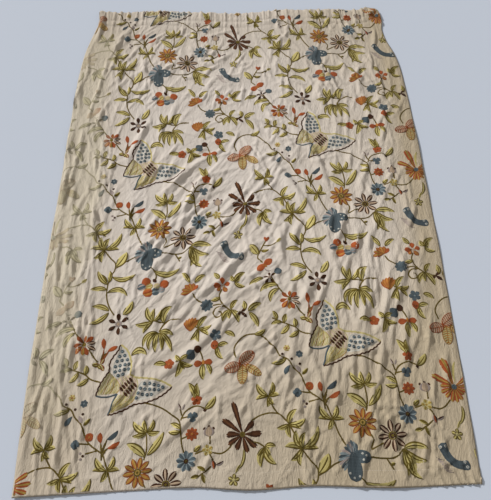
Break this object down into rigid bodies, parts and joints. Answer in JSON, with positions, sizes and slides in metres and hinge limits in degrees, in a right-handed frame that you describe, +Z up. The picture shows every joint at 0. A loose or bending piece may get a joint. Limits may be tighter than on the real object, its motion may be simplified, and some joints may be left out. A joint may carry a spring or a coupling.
{
  "type": "crewel embroidery panel",
  "caption": "Hemmed ecru cotton cloth with all-over crewel flowers, leaves and butterflies and a gathered heading, lying flat with soft creases.",
  "frame": {"origin": "centre of the cloth's plan, on the surface that it lies on", "axes": "+Y from the bottom hem towards the gathered heading, +X across the panel to its right-hand side seen from above, +Z up off the surface"},
  "size_m": [1.2404, 1.7456, 0.0131],
  "materials": {
    "cloth": "matt plain weave, unbleached, faded along one side"
  },
  "bodies": {
    "root": {"panel": "cloth"}
  },
  "joints": []
}
